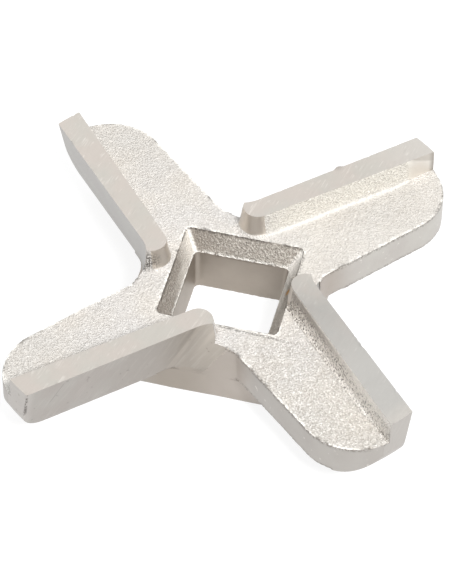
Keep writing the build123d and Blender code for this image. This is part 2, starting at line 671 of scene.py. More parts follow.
flat = beside_dressed_backs(shaped, triangles, finish)
skin_mesh = bpy.data.meshes.new("knife_skin")
skin_mesh.from_pydata((shaped * MM).tolist(), [], triangles.tolist())
skin_mesh.polygons.foreach_set("material_index", finish.astype(np.int32))
skin_mesh.shade_smooth()
skin_mesh.set_sharp_from_angle(angle=SHARP_ANGLE)
skin_mesh.polygons.foreach_set("use_smooth", ~flat)
skin_mesh.attributes.new("rim", "FLOAT", "POINT").data.foreach_set("value", rims)
knife = bpy.data.objects.new("knife_skin", skin_mesh)
bpy.context.scene.collection.objects.link(knife)
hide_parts("knife")
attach(knife, "root")
print("flat triangles beside the dressed backs:", int(flat.sum()))


# %% [markdown]
# ## Shader arithmetic
#
# A material is a network of small sums, and a network that is wired node by
# node is hard to read. So one class wraps a node's output and lets plain
# arithmetic work on it, each operation adding its own Math node.

# %% Wires
class Wire:
    """One output of a node, which plain arithmetic works on."""

    def __init__(self, graph, socket):
        self.graph = graph
        self.socket = socket

    def math(self, operation, *others):
        return self.graph.math(operation, self, *others)

    def __add__(self, other):
        return self.math("ADD", other)

    def __radd__(self, other):
        return self.graph.math("ADD", other, self)

    def __sub__(self, other):
        return self.math("SUBTRACT", other)

    def __rsub__(self, other):
        return self.graph.math("SUBTRACT", other, self)

    def __mul__(self, other):
        return self.math("MULTIPLY", other)

    def __rmul__(self, other):
        return self.graph.math("MULTIPLY", other, self)

    def __truediv__(self, other):
        return self.math("DIVIDE", other)

    def __rtruediv__(self, other):
        return self.graph.math("DIVIDE", other, self)

    def size(self):
        """The number without its sign."""
        return self.math("ABSOLUTE")

    def root(self):
        return self.math("SQRT")

    def clamped(self):
        return self.math("MAXIMUM", 0.0).math("MINIMUM", 1.0)

    def ramp(self, low, high):
        """0 at low, 1 at high, straight between. Low may be the greater."""
        return ((self - low) / (high - low)).clamped()


print("a wire knows:", [name for name in vars(Wire) if not name.startswith("_")])


# %% [markdown]
# ## Node graphs
#
# Every node is made by one method, which takes the node's type, its settings
# and what goes into its sockets, whether numbers or wires. The settings come
# first, because they decide which sockets a node has. Colours go through a
# Mix node, since a Math node would turn them grey.

# %% Graphs
MIX_SHARE, MIX_FIRST, MIX_SECOND = 0, 6, 7  # a Mix node's sockets for colours
MIX_RESULT = 2


class Graph:
    """The node tree of a material or of the world."""

    def __init__(self, tree):
        self.tree = tree
        self.tree.nodes.clear()

    def make(self, kind, settings=None, values=None):
        node = self.tree.nodes.new(kind)
        for key, value in (settings or {}).items():
            setattr(node, key, value)
        for key, value in (values or {}).items():
            socket = node.inputs[key]
            if isinstance(value, Wire):
                self.tree.links.new(value.socket, socket)
            else:
                socket.default_value = value
        return node

    def out(self, node, key=0):
        return Wire(self, node.outputs[key])

    def math(self, operation, *values):
        node = self.make("ShaderNodeMath", {"operation": operation}, dict(enumerate(values)))
        return self.out(node)

    def mix(self, share, first, second):
        """A colour between first, at 0, and second, at 1."""
        values = {MIX_SHARE: share, MIX_FIRST: first, MIX_SECOND: second}
        return self.out(self.make("ShaderNodeMix", {"data_type": "RGBA"}, values), MIX_RESULT)

    def parts(self, vector):
        """The X, Y and Z of a vector."""
        node = self.make("ShaderNodeSeparateXYZ", {}, {"Vector": vector})
        return [self.out(node, k) for k in range(3)]

    def joined(self, *parts):
        """A vector from its X, Y and Z."""
        return self.out(self.make("ShaderNodeCombineXYZ", {}, dict(enumerate(parts))))


print("a graph has:", [name for name in vars(Graph) if not name.startswith("_")])


# %% [markdown]
# ## What the finishes are drawn with
#
# The finishes need a few more things: the place on the knife in millimetres,
# the same seen from a turned direction, the distance from a spot, the rim
# numbers of the skin, noise and bump. Object coordinates are used, so that the
# grain keeps its size and stays with the metal wherever the knife goes.

# %% Finishes' graph
class FinishGraph(Graph):
    """A graph with the nodes that the knife's finishes use."""

    def scaled(self, vector, scale):
        """A vector in metres as one in mm, stretched by scale along X, Y and Z."""
        values = {"Vector": vector, "Scale": [s / MM for s in scale]}
        return self.out(self.make("ShaderNodeMapping", {}, values))

    def place(self):
        """The point on the object, in mm."""
        coordinates = self.make("ShaderNodeTexCoord")
        return self.scaled(self.out(coordinates, "Object"), (1, 1, 1))

    def turned_place(self, angle, scale=(1, 1, 1)):
        """As place, with the object first turned about Z by angle and then stretched."""
        coordinates = self.make("ShaderNodeTexCoord")
        values = {"Vector": self.out(coordinates, "Object"), "Angle": angle}
        turned = self.make("ShaderNodeVectorRotate", {"rotation_type": "Z_AXIS"}, values)
        return self.scaled(self.out(turned), scale)

    def distance(self, place, spot):
        """How far a place is from a fixed spot."""
        away = [axis - middle for axis, middle in zip(place, spot)]
        return (away[0] * away[0] + away[1] * away[1] + away[2] * away[2]).root()

    def number(self, name):
        """A number that the mesh's points carry under this name."""
        return self.out(self.make("ShaderNodeAttribute", {"attribute_name": name}), "Fac")

    def noise(self, vector, scale, detail, roughness):
        values = {"Vector": vector, "Scale": scale, "Detail": detail, "Roughness": roughness}
        return self.out(self.make("ShaderNodeTexNoise", {}, values), "Fac")

    def bump(self, height, distance):
        return self.out(self.make("ShaderNodeBump", {}, {"Height": height, "Distance": distance}))


print("the finishes add:", [name for name in vars(FinishGraph) if not name.startswith("_")])


# %% [markdown]
# ## From a graph to a material
#
# Each finish is a function that draws into an empty graph and gives back what
# the shader's sockets should get. One helper makes the material round it, so
# that no finish has to repeat how a material is set up.

# %% Materials
def finished(name, draw):
    """A material whose shader values the function draw works out in a new graph."""
    material = bpy.data.materials.new(name)
    material.use_nodes = True
    graph = FinishGraph(material.node_tree)
    shader = graph.make("ShaderNodeBsdfPrincipled", {}, draw(graph))
    graph.make("ShaderNodeOutputMaterial", {}, {"Surface": graph.out(shader)})
    print(name, "has", len(material.node_tree.nodes), "nodes")
    return material


# %% [markdown]
# ## Colours
#
# Shades are chosen as they should look on a screen, from 0 to 255, while a
# shader counts light, which is linear. One function turns the first into the
# second.

# %% Screen colours
def shade(red, green, blue):
    """A screen colour as the shader's linear colour."""
    return [(value / 255) ** 2.2 for value in (red, green, blue)] + [1.0]


print("middle grey as light:", round(shade(128, 128, 128)[0], 3))


# %% [markdown]
# ## What the cast finishes share
#
# All cast faces have the same grain, which is sand about a quarter of a millimetre across with
# some larger clumps. In one corner of the funnel there is a small spot of rust, and the nook
# between the back left rib's inner end and the hub is painted dark, as shade.

# %% Grain, rust and nook
SAND_GRAIN = 3.6  # grains to a millimetre
CLUMP_SCALE = 0.45 * SAND_GRAIN
GRAIN_SHARE, CLUMP_SHARE = 0.8, 0.2
RUST = shade(190, 138, 66)
RUST_SPOT = (8.85, 0.6, 9.3)
RUST_SIZE, RUST_CORE = 0.8, 0.24
RUST_STRENGTH = 0.8
NOOK = (-12.4, -0.2, 11.8)


def sand_relief(graph, place):
    """The height of the sand, about 0.5 on average."""
    grain = graph.noise(place, scale=SAND_GRAIN, detail=2.0, roughness=0.6)
    clumps = graph.noise(place, scale=CLUMP_SCALE, detail=1.0, roughness=0.5)
    return grain * GRAIN_SHARE + clumps * CLUMP_SHARE


def with_rust(graph, place, colour):
    """The colour with the spot of rust over it."""
    breakup = graph.noise(place, scale=2.5, detail=1.0, roughness=0.5).ramp(0.25, 0.45)
    nearness = graph.distance(graph.parts(place), RUST_SPOT).ramp(RUST_SIZE, RUST_CORE)
    return graph.mix(nearness * breakup * RUST_STRENGTH, colour, RUST)


def axis_distance(x, y):
    """How far a place is from the knife's axis."""
    return (x * x + y * y).root()


print("one grain of sand, mm:", round(1 / SAND_GRAIN, 2), " one clump:", round(1 / CLUMP_SCALE, 2))


# %% [markdown]
# ## Sandy cast skin: its tone
#
# Blasted cast steel is a pale, warm grey that scatters light, since each grain shines its own way.
# Its grain is painted darker in the hollows, as shade, and lighter on the tops, as highlights. It
# gets a little darker towards the tips, and the back of the back right rib is painted lighter than
# its web, for the light that falls on it from the front. The fillet at the foot of that rib
# catches the light as a soft line. The web beside the front left tip's rib is painted light where
# the key lamp's shadow falls on it.

# %% Tone of the sandy skin
SAND_INNER = shade(222, 217, 210), shade(218, 215, 212)
SAND_OUTER = shade(215, 210, 203), shade(212, 209, 204)
BACK_RIGHT_WEB = shade(205, 200, 193)
BACK_RIGHT_RIB_PAINTED_LIGHT = shade(227, 223, 214)
HOLLOW_SHADE = shade(160, 152, 142)
GRAIN_TOP_HIGHLIGHT = shade(252, 249, 244)
FOOT_LIGHT = shade(254, 251, 246)
TIP_CORNER_PAINTED_LIGHT = shade(254, 252, 247)
OUTWARDS = 16.0, 30.0
RIB_BACK_HEIGHTS = WEB_TOP + 0.1, WEB_TOP + 0.9
FOOT_AT, FOOT_BAND = 0.2, (0.24, 0.06)
HOLLOW_DEPTHS, TOP_HEIGHTS = (0.58, 0.38), (0.57, 0.67)  # of the sand's relief
HOLLOW_STRENGTH, TOP_STRENGTH = 0.30, 0.40


def sand_contrast(back_right, rib, front_right):
    """How much the grain shows: less on one web, more on its rib and on another web."""
    return 1 - back_right * 0.25 + rib * 0.35 + front_right * 0.9


def sandy_tone(graph, place, relief):
    """The colour of the sandy skin with its grain, before rims and stains."""
    x, y, z = graph.parts(place)
    patches = graph.noise(place, scale=0.12, detail=2.0, roughness=0.5).ramp(0.35, 0.65)
    outwards = axis_distance(x, y).ramp(*OUTWARDS)
    back_right = x.ramp(0, 6) * y.ramp(0, 6)
    front_right = x.ramp(2.0, 8.0) * y.ramp(-4.0, -10.0)
    rib = z.ramp(*RIB_BACK_HEIGHTS) * back_right
    tone = graph.mix(outwards, graph.mix(patches, *SAND_INNER), graph.mix(patches, *SAND_OUTER))
    tone = graph.mix(back_right * 0.5, tone, BACK_RIGHT_WEB)
    # Painted light on the back right rib's back.
    tone = graph.mix(rib, tone, BACK_RIGHT_RIB_PAINTED_LIGHT)
    contrast = sand_contrast(back_right, rib, front_right)
    # Painted shade in the sand's hollows and painted highlights on its grain tops.
    tone = graph.mix(relief.ramp(*HOLLOW_DEPTHS) * contrast * HOLLOW_STRENGTH, tone, HOLLOW_SHADE)
    tone = graph.mix(relief.ramp(*TOP_HEIGHTS) * contrast * TOP_STRENGTH, tone, GRAIN_TOP_HIGHLIGHT)
    foot = (z - WEB_TOP - FOOT_AT).size().ramp(*FOOT_BAND) * back_right
    tone = graph.mix(foot * 0.5, tone, FOOT_LIGHT)
    # Painted light on the front left tip's web beside the rib, where the key lamp's shadow falls.
    corner = x.ramp(-22.0, -23.0) * y.ramp(-26.2, -27.2)
    return graph.mix(corner * 0.7, tone, TIP_CORNER_PAINTED_LIGHT)


print("the web gets darker from, mm:", OUTWARDS[0], " to:", OUTWARDS[1])


# %% [markdown]
# ## Sandy cast skin: lip, nook and rims
#
# In front of the funnel a raised lip throws a thin, broken shade. The nook's painted shade and the
# ragged rims come last, because they lie over everything else. A rim gets painted highlights in
# some spots and is dark in others.

# %% The sandy skin
LIP_AT, LIP_SLOPE, LIP_BAND = 9.15, 0.05, (0.34, 0.08)
NOOK_SIZE = 2.2, 1.2
RIM_HEIGHTS = WEB_TOP + 0.4, WEB_TOP + 0.2
SANDY_METAL, SANDY_ROUGHNESS, SANDY_BUMP = 0.35, 0.75, 0.55 * MM
LIP_SHADE = shade(128, 125, 120)
NOOK_SHADE = shade(70, 64, 58)
RIM_HIGHLIGHT = shade(252, 249, 243)
RIM_DARK = shade(92, 86, 78)


def sandy_skin(graph):
    place = graph.place()
    x, y, z = graph.parts(place)
    relief = sand_relief(graph, place)
    colour = sandy_tone(graph, place, relief)
    lip = (y + x * LIP_SLOPE + LIP_AT).size().ramp(*LIP_BAND)
    lip = lip * x.ramp(-0.5, 1.0) * x.ramp(12.5, 8.5) * relief.ramp(0.62, 0.45)
    colour = graph.mix(lip * 0.75, colour, LIP_SHADE)
    # Painted shade in the nook by the back left rib's inner end.
    nook = graph.distance((x, y, z), NOOK).ramp(*NOOK_SIZE) * relief.ramp(0.64, 0.46)
    colour = graph.mix(nook * 0.85, colour, NOOK_SHADE)
    # Painted highlights along the rims, with dark spots among them.
    ragged = graph.noise(place, scale=1.6, detail=2.0, roughness=0.6).ramp(0.40, 0.52)
    rim_dark_spots = graph.noise(place, scale=0.35, detail=2.0, roughness=0.5).ramp(0.52, 0.60)
    rim = graph.number("rim").ramp(0.1, 0.7) * ragged * z.ramp(*RIM_HEIGHTS)
    colour = graph.mix(rim * (1 - rim_dark_spots) * 0.8, colour, RIM_HIGHLIGHT)
    colour = graph.mix(rim * rim_dark_spots * 0.6, colour, RIM_DARK)
    return {
        "Base Color": with_rust(graph, place, colour),
        "Metallic": SANDY_METAL,
        "Roughness": SANDY_ROUGHNESS,
        "Normal": graph.bump(relief, SANDY_BUMP),
    }


skin_mesh.materials.append(finished("sandy_cast_steel", sandy_skin))


# %% [markdown]
# ## Coarse cast skin: the funnel
#
# The funnel's core left coarse walls, speckled dark and light. Its two side
# walls are smoother and go from dark at the front to bright at the back, and
# the corners between them and the back wall shine. The core sat a little off
# centre, so the walls are told apart by how far a place is past the line of
# the corner, and not by their distance from the axis.

# %% Tone of the funnel
FUNNEL_WALL = shade(184, 177, 168)
SIDE_WALLS_DARK = shade(158, 150, 141), shade(178, 171, 162)
SIDE_WALLS_BRIGHT = shade(230, 224, 215), shade(252, 249, 244)
FUNNEL_BACK_LEFT = shade(160, 152, 143)
FUNNEL_CORNER = shade(250, 246, 240)
CORE_OFFSET = 0.4
CORNER_SLOPE, CORNER_AT = 0.88, 1.26
SMOOTHER_SIDES = 0.45


def over_funnel(graph, tone, place, funnel):
    """The tone with the funnel's walls over it, and how strongly they are speckled."""
    x, y, z = place
    past_corner = (x - CORE_OFFSET).size() - y * CORNER_SLOPE - CORNER_AT
    side_wall = past_corner.ramp(-0.1, 0.2)
    back_left = x.ramp(0.0, -6.0) * funnel * (1 - side_wall)
    low_part = (LEDGE + 1.5 - z).ramp(0.0, 0.5) * y.ramp(-4.0, 2.0) * side_wall
    backwards = (y - z * 0.9).ramp(-6.5, -1.5)
    bright = (side_wall * backwards).math("MAXIMUM", low_part * 0.6) * funnel
    corner = past_corner.size().ramp(0.55, 0.2) * y.ramp(5, 6)
    rightwards = x.ramp(-2.0, 2.0)
    tone = graph.mix(side_wall * funnel, tone, graph.mix(rightwards, *SIDE_WALLS_DARK))
    tone = graph.mix(back_left, tone, FUNNEL_BACK_LEFT)
    tone = graph.mix(bright, tone, graph.mix(rightwards, *SIDE_WALLS_BRIGHT))
    tone = graph.mix(corner * funnel, tone, FUNNEL_CORNER)
    smoother = (side_wall + back_left).clamped() * funnel * SMOOTHER_SIDES
    return tone, (1 - bright) * (1 - smoother)


print("the core sat off centre by, mm:", CORE_OFFSET)


# %% [markdown]
# ## Coarse cast skin: the front right rib's back
#
# The coarse back is darkest near the hub and in a band under the rib's top, and it goes over to
# bright metal near the tip. A painted highlight runs along the edge under the rib's top. The
# speckle is strongest low down near the hub. How far out a place is on this arm can be told from X
# less Y, since the arm points that way.

# %% Tone of the coarse back
COARSE_BACK = shade(240, 234, 227)
BACK_NEAR_HUB = shade(196, 188, 178)
BACK_UPPER_BAND = shade(186, 178, 170)
BACK_TOP_EDGE_HIGHLIGHT = shade(252, 248, 242)
BACK_NEAR_TIP = shade(250, 246, 240)
BAND_HEIGHTS = WEB_TOP + 1.6, WEB_TOP + 2.6
EDGE_HEIGHTS = RIB_TOP - 0.5, RIB_TOP - 0.3
PLAIN_HEIGHTS = WEB_TOP + 2.2, WEB_TOP + 3.2
LOW_HEIGHTS = WEB_TOP + 2.0, WEB_TOP + 1.0


def over_rib_back(graph, tone, place, rib):
    """The tone with the rib's back over it, and how strongly it is speckled."""
    x, y, z = place
    outwards = x - y
    near_hub = outwards.ramp(21.0, 12.0) * rib
    near_tip = outwards.ramp(30.0, 48.0) * rib
    tone = graph.mix(near_hub, tone, BACK_NEAR_HUB)
    tone = graph.mix(outwards.ramp(40.0, 22.0) * z.ramp(*BAND_HEIGHTS), tone, BACK_UPPER_BAND)
    # A painted highlight along the edge under the rib's top.
    tone = graph.mix(z.ramp(*EDGE_HEIGHTS) * 0.6, tone, BACK_TOP_EDGE_HIGHLIGHT)
    tone = graph.mix(near_tip, tone, BACK_NEAR_TIP)
    low_near_hub = outwards.ramp(26.0, 14.0) * rib * z.ramp(*LOW_HEIGHTS)
    speckled = 1 - z.ramp(*PLAIN_HEIGHTS)
    return tone, speckled * (1 - near_tip * 0.3) * (1 + low_near_hub * 0.5)


print("the coarse back's dark band is full at, mm:", round(BAND_HEIGHTS[1], 2))


# %% [markdown]
# ## Coarse cast skin
#
# Both parts are laid one over the other and then speckled by the height of the sand: hollows are
# painted dark, as shade, and grain tops light, as highlights. The mouth of the funnel has a dark,
# ragged rim, and the ledge above the bore a bright one, where the cut of the bore meets the cast
# walls.

# %% The coarse skin
SPECKLE_SHADE = shade(98, 91, 83)
SPECKLE_HIGHLIGHT = shade(246, 242, 236)
MOUTH_RIM = shade(84, 78, 71)
LEDGE_RIM = shade(250, 247, 241)
MOUTH_HEIGHTS = WEB_TOP - 0.6, WEB_TOP - 0.3
MOUTH_REACH = FUNNEL_REACH + 0.3, FUNNEL_REACH
LEDGE_HEIGHTS = LEDGE + 0.6, LEDGE + 0.3
COARSE_METAL, COARSE_ROUGHNESS, COARSE_BUMP = 0.5, 0.65, 0.6 * MM


def coarse_skin(graph):
    place = graph.place()
    x, y, z = graph.parts(place)
    relief = sand_relief(graph, place)
    rib = z.ramp(WEB_TOP, WEB_TOP + 0.2)
    tone = graph.mix(rib, FUNNEL_WALL, COARSE_BACK)
    tone, funnel_strength = over_funnel(graph, tone, (x, y, z), 1 - rib)
    tone, back_strength = over_rib_back(graph, tone, (x, y, z), rib)
    strength = funnel_strength * back_strength
    hollows = (relief + rib * 0.03).ramp(0.53, 0.41)
    grain_tops = relief.ramp(0.53, 0.63)
    # Painted shade in the sand's hollows and painted highlights on its grain tops.
    colour = graph.mix(hollows * strength * (rib * 0.46 + 0.37), tone, SPECKLE_SHADE)
    colour = graph.mix(grain_tops * strength * (rib * 0.2 + 0.37), colour, SPECKLE_HIGHLIGHT)
    ragged = graph.noise(place, scale=1.8, detail=2.0, roughness=0.6).ramp(0.38, 0.50)
    rim = graph.number("rim").ramp(0.1, 0.7) * ragged
    across = (x - CORE_OFFSET).size().math("MAXIMUM", y.size())
    mouth = z.ramp(*MOUTH_HEIGHTS) * (1 - rib) * across.ramp(*MOUTH_REACH)
    colour = graph.mix(rim * mouth * 0.75, colour, MOUTH_RIM)
    colour = graph.mix(rim * z.ramp(*LEDGE_HEIGHTS) * 0.9, colour, LEDGE_RIM)
    return {
        "Base Color": with_rust(graph, place, colour),
        "Metallic": COARSE_METAL,
        "Roughness": COARSE_ROUGHNESS,
        "Normal": graph.bump(relief, COARSE_BUMP),
    }


skin_mesh.materials.append(finished("coarse_cast_steel", coarse_skin))


# %% [markdown]
# ## Smooth cast skin: walls
#
# Where the pattern was drawn straight out of the sand, and in the cut bore, the metal is smooth
# and shines more than the web. Each wall gets a grey that paints how much light reaches it: the
# bore is darkest, as painted shade, then the hub, which lies under the arms and has a painted
# shadow at its front left, then the arms' sides, of which those at the back are painted lightest.
# Soft patches keep each of them from looking flat.

# %% Tone of the smooth walls
BORE_WALL_SHADE = shade(158, 149, 139), shade(165, 156, 146)
HUB_WALL = shade(176, 168, 160), shade(183, 175, 168)
HUB_FRONT_LEFT_SHADOW = shade(162, 154, 145)
FRONT_SIDES = shade(176, 171, 166), shade(182, 178, 173)
BACK_SIDES_PAINTED_LIGHT = shade(190, 185, 180), shade(198, 195, 189)
RIB_ENDS = shade(215, 207, 197), shade(220, 212, 203)
BORE_TO_HUB = 9.8, 10.6
HUB_TO_SIDES = 15.5, 19.0
FRONT_TO_BACK = -6.0, 4.0


def smooth_walls(graph, place, above_web):
    """The colour of the bore, the hub, the arms' sides and the ribs' inner ends."""
    x, y, _ = graph.parts(place)
    patches = graph.noise(place, scale=0.25, detail=3.0, roughness=0.5).ramp(0.3, 0.7)
    from_axis = axis_distance(x, y)
    # Painted shadow on the hub's front left, under the front left arm.
    shadow_under_arm = x.ramp(5.0, -3.0) * y.ramp(-11.0, -12.0)
    hub = graph.mix(shadow_under_arm, graph.mix(patches, *HUB_WALL), HUB_FRONT_LEFT_SHADOW)
    # The back sides' lighter grey is painted light.
    sides = graph.mix(patches, *FRONT_SIDES), graph.mix(patches, *BACK_SIDES_PAINTED_LIGHT)
    # The bore's darker grey is painted shade.
    tone = graph.mix(from_axis.ramp(*BORE_TO_HUB), graph.mix(patches, *BORE_WALL_SHADE), hub)
    sides = graph.mix(y.ramp(*FRONT_TO_BACK), *sides)
    tone = graph.mix(from_axis.ramp(*HUB_TO_SIDES), tone, sides)
    return graph.mix(above_web, tone, graph.mix(patches, *RIB_ENDS))


print("the hub's grey goes over to the sides' at, mm:", HUB_TO_SIDES)


# %% [markdown]
# ## Smooth cast skin: the dressed back
#
# The end of the back right rib's back was dressed in two cuts, which meet in a fold that slants
# down towards the tip. The skin has no such fold, so it is painted: the upper cut is painted
# darker, as shade, and so is the last strip beside the tip, where the light comes off the turned
# face.

# %% Tone of the dressed back
DRESSED_START = shade(238, 235, 228)
DRESSED_LOWER = shade(228, 223, 216)
DRESSED_UPPER_SHADE = shade(198, 192, 184)
DRESSED_EDGE_SHADE = shade(170, 164, 156)
FOLD_SLOPE = 0.42
FOLD_START = DRESSED_FROM + 0.6
DRESSED_REACH = DRESSED_FROM, DRESSED_FROM + 1.6
TIP_STRIP = TIP_RADIUS - 0.9, TIP_RADIUS - 0.2
START_REACH = 30.0, 31.0


def over_dressed_back(graph, tone, place, above_web):
    """The tone with the dressed back over it."""
    x, y, z = graph.parts(place)
    from_axis = axis_distance(x, y)
    fold = z + from_axis * FOLD_SLOPE - RIB_TOP - FOLD_SLOPE * FOLD_START
    # Painted shade on the upper cut and on the strip beside the tip.
    facet = graph.mix(fold.ramp(-0.1, 0.3), DRESSED_LOWER, DRESSED_UPPER_SHADE)
    facet = graph.mix(from_axis.ramp(*TIP_STRIP), facet, DRESSED_EDGE_SHADE)
    tone = graph.mix(above_web * from_axis.ramp(*START_REACH), tone, DRESSED_START)
    return graph.mix(above_web * from_axis.ramp(*DRESSED_REACH), tone, facet)


print("the fold drops, mm in 10 mm:", round(10 * FOLD_SLOPE, 1))


# %% [markdown]
# ## Smooth cast skin
#
# Over the tones come a few light dots where the sides were struck, dark specks of sand along the
# rims, and the painted shade of the nook. The grain is there, but so low that it only dulls the
# reflections.

# %% The smooth skin
STRUCK_DOT = shade(240, 236, 230)
SIDE_SPECK = shade(104, 97, 89)
SIDE_NOOK_SHADE = shade(74, 68, 62)
SIDE_NOOK_SIZE = 2.4, 1.4
PAST_BORE = 10.6, 12.0
SMOOTH_METAL, SMOOTH_ROUGHNESS, SMOOTH_BUMP = 0.9, 0.45, 0.015 * MM


def smooth_skin(graph):
    place = graph.place()
    x, y, z = graph.parts(place)
    relief = sand_relief(graph, place)
    from_axis = axis_distance(x, y)
    above_web = z.ramp(WEB_TOP, WEB_TOP + 0.1)
    colour = smooth_walls(graph, place, above_web)
    grain = graph.noise(place, scale=SAND_GRAIN, detail=2.0, roughness=0.5)
    dots = graph.noise(place, scale=1.2, detail=1.0, roughness=0.5).ramp(0.70, 0.76)
    colour = graph.mix(dots * from_axis.ramp(*HUB_TO_SIDES) * 0.4, colour, STRUCK_DOT)
    specks = graph.number("rim").ramp(0.0, 0.5) * relief.ramp(0.55, 0.47)
    specks = specks * from_axis.ramp(*PAST_BORE) * (1 - above_web)
    colour = graph.mix(specks * 0.55, colour, SIDE_SPECK)
    colour = over_dressed_back(graph, colour, place, above_web)
    # Painted shade in the nook.
    nook = graph.distance((x, y, z), NOOK).ramp(*SIDE_NOOK_SIZE) * relief.ramp(0.62, 0.44)
    return {
        "Base Color": graph.mix(nook * 0.75, colour, SIDE_NOOK_SHADE),
        "Metallic": SMOOTH_METAL,
        "Roughness": SMOOTH_ROUGHNESS,
        "Normal": graph.bump(grain, SMOOTH_BUMP),
    }


skin_mesh.materials.append(finished("smooth_cast_steel", smooth_skin))


# %% [markdown]
# ## Ground tops
#
# The face of a grinding wheel leaves fine strokes in one direction. They are
# noise that is stretched along that direction, and they show most in the
# patches where the tops are worn by the hole plate. The front right top is
# cooler in colour, and the ends of both right-hand tops are lighter.

# %% The ground tops
STROKE_ANGLE = math.radians(-78)
STROKE_STRETCH = (0.16, 2.0, 1.0)
TOP_TONES = shade(187, 180, 173), shade(184, 180, 173)
COOL_TOP_TONES = shade(168, 163, 158), shade(165, 163, 159)
COOL_TOP_OUTER = shade(178, 176, 172)
COOL_TOP_END = shade(194, 189, 182)
BACK_RIGHT_TOP_END = shade(192, 188, 182)
STROKE_LIGHT = shade(240, 236, 230)
STROKE_DARK = shade(140, 134, 126)
LIGHT_STROKES, DARK_STROKES = (0.52, 0.66), (0.44, 0.32)
TOP_END = 35.5, 38.0
GROUND_METAL = 0.95
TOP_ROUGHNESS, STROKE_ROUGHNESS, TOP_BUMP = 0.34, 0.15, 0.02 * MM


def ground_tops(graph):
    place = graph.place()
    x, y, _ = graph.parts(place)
    along_strokes = graph.turned_place(STROKE_ANGLE, STROKE_STRETCH)
    strokes = graph.noise(along_strokes, scale=1.6, detail=3.0, roughness=0.65)
    patches = graph.noise(place, scale=0.22, detail=3.0, roughness=0.5).ramp(0.38, 0.62)
    front_right = x.ramp(2.0, 6.0) * y.ramp(2.0, -6.0)
    cool = graph.mix(patches, *COOL_TOP_TONES)
    cool = graph.mix((x - y).ramp(20.0, 38.0), cool, COOL_TOP_OUTER)
    cool = graph.mix(axis_distance(x, y).ramp(*TOP_END) * 0.6, cool, COOL_TOP_END)
    tone = graph.mix(patches, *TOP_TONES)
    tone = graph.mix((x + y).ramp(38.0, 54.0), tone, BACK_RIGHT_TOP_END)
    tone = graph.mix(front_right, tone, cool)
    worn = graph.noise(place, scale=0.5, detail=2.0, roughness=0.5).ramp(0.46, 0.60)
    worn = worn * (1 - front_right * 0.6)
    tone = graph.mix(strokes.ramp(*LIGHT_STROKES) * worn * 0.26, tone, STROKE_LIGHT)
    tone = graph.mix(strokes.ramp(*DARK_STROKES) * worn * 0.14, tone, STROKE_DARK)
    return {
        "Base Color": tone,
        "Metallic": GROUND_METAL,
        "Roughness": strokes * STROKE_ROUGHNESS + TOP_ROUGHNESS,
        "Normal": graph.bump(strokes, TOP_BUMP),
    }


skin_mesh.materials.append(finished("ground_tops", ground_tops))


# %% [markdown]
# ## Ground sides: their tone
#
# The rim of the wheel leaves a plainer face. The front left arm is seen best,
# so its side gets the most care: it darkens towards the hub, its tip is
# lighter, and in the run-out, where the wheel turned away from the metal, it
# has broad, slanting bands. These are noise on coordinates that are swept
# along with the wheel's path: along the arm, and less so downwards.

# %% Tone of the ground sides
SIDE_TONES = shade(171, 168, 165), shade(174, 172, 168)
FRONT_TONES = shade(172, 168, 163), shade(169, 163, 158)
FRONT_NEAR_HUB = shade(161, 155, 149)
TURNED_TIP = shade(184, 180, 175), shade(182, 177, 173)
RUNOUT_TONES = shade(162, 155, 147), shade(188, 180, 170)
RUNOUT_BAND = shade(222, 212, 200)
TIP_REACH = TIP_RADIUS - 1.5, TIP_RADIUS - 0.3
RUNOUT_ALONG, RUNOUT_REACH = (17.0, 12.0), (20.0, 17.0)


def side_tone(graph, place, swept, along, front):
    """The colour of the ground sides before strokes and marks."""
    x, y, _ = graph.parts(place)
    from_axis = axis_distance(x, y)
    patches = graph.noise(place, scale=0.22, detail=3.0, roughness=0.5).ramp(0.38, 0.62)
    front_tone = graph.mix(patches, *FRONT_TONES)
    front_tone = graph.mix(along.ramp(28.0, 17.0), front_tone, FRONT_NEAR_HUB)
    tip = from_axis.ramp(*TIP_REACH) * front
    runout = along.ramp(*RUNOUT_ALONG) * front * from_axis.ramp(*RUNOUT_REACH)
    bands = graph.noise(swept, scale=0.7, detail=1.0, roughness=0.5).ramp(0.48, 0.62)
    tone = graph.mix(front, graph.mix(patches, *SIDE_TONES), front_tone)
    tone = graph.mix(tip, tone, graph.mix(patches, *TURNED_TIP))
    tone = graph.mix(runout, tone, graph.mix(along.ramp(11.0, 6.0), *RUNOUT_TONES))
    return graph.mix(runout * bands * 0.16, tone, RUNOUT_BAND)


print("ground side leans back by, degrees:", round(math.degrees(RAKE), 1))


# %% [markdown]
# ## Ground sides: marks
#
# The front left side has one long slanting scratch and a few pits. The arris
# between it and the tip has a thin, broken dark line, where the two cuts met
# and scale stayed between them. These marks are too small for the mesh, so
# they are masks on the distance from a line.

# %% Scratch, pits and arris
SCRATCH_AT, SCRATCH_SLANT, SCRATCH_WIDTH = 31.0, 0.56, (0.13, 0.03)
SCRATCH_LOW_END, SCRATCH_HIGH_END = (9.0, 9.8), (13.4, 12.9)
ARRIS_DEPTH, ARRIS_ALONG, ARRIS_LOW_END = (-0.14, -0.05), (37.1, 37.3), (8.5, 9.5)


def scratch_and_pits(graph, place, along, height):
    """1 on the scratch, less in the pits, and 0 elsewhere."""
    from_scratch = along - SCRATCH_AT + (height - RIB_TOP) * SCRATCH_SLANT
    scratch = from_scratch.size().ramp(*SCRATCH_WIDTH)
    scratch = scratch * height.ramp(*SCRATCH_LOW_END) * height.ramp(*SCRATCH_HIGH_END)
    pits = graph.noise(place, scale=1.3, detail=1.0, roughness=0.5).ramp(0.72, 0.77)
    return scratch * 0.5 + pits * 0.35


